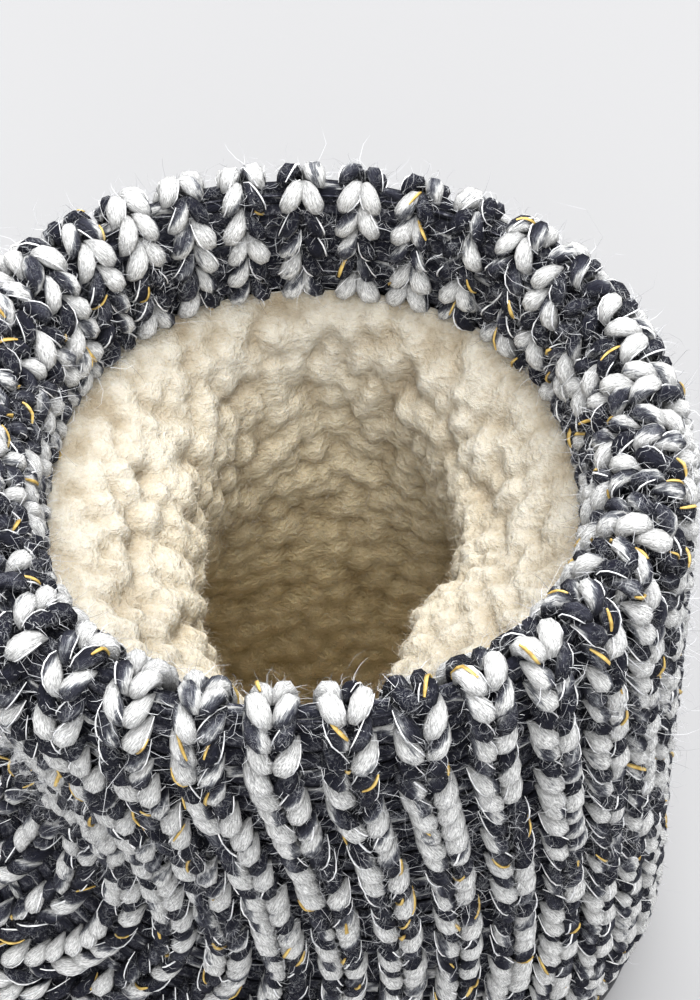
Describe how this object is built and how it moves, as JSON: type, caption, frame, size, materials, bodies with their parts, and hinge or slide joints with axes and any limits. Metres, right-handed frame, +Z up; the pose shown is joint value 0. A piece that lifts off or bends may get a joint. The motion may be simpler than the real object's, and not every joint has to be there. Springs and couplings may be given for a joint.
{
  "type": "slipper bootie",
  "caption": "Ankle-high rib-knit slipper bootie for a left foot, with a fat rolled collar, deep sherpa lining and a flat moulded sole.",
  "frame": {"origin": "middle of the shoe's footprint box, on the floor", "axes": "+X from heel to toe, +Y to the wearer's left (the shoe's outer side), +Z up"},
  "size_m": [0.263, 0.115, 0.1855],
  "materials": {
    "sole_rubber": "matte moulded rubber, near black",
    "footbed_fleece": "short cream fleece over foam",
    "sherpa_pile": "deep curled cream pile",
    "marl_knit": "chunky rib knit in navy and white marl yarn with gold flecks"
  },
  "bodies": {
    "root": {"outsole": "sole_rubber", "insole": "footbed_fleece", "sherpa_lining": "sherpa_pile", "upper": "marl_knit"}
  },
  "joints": []
}
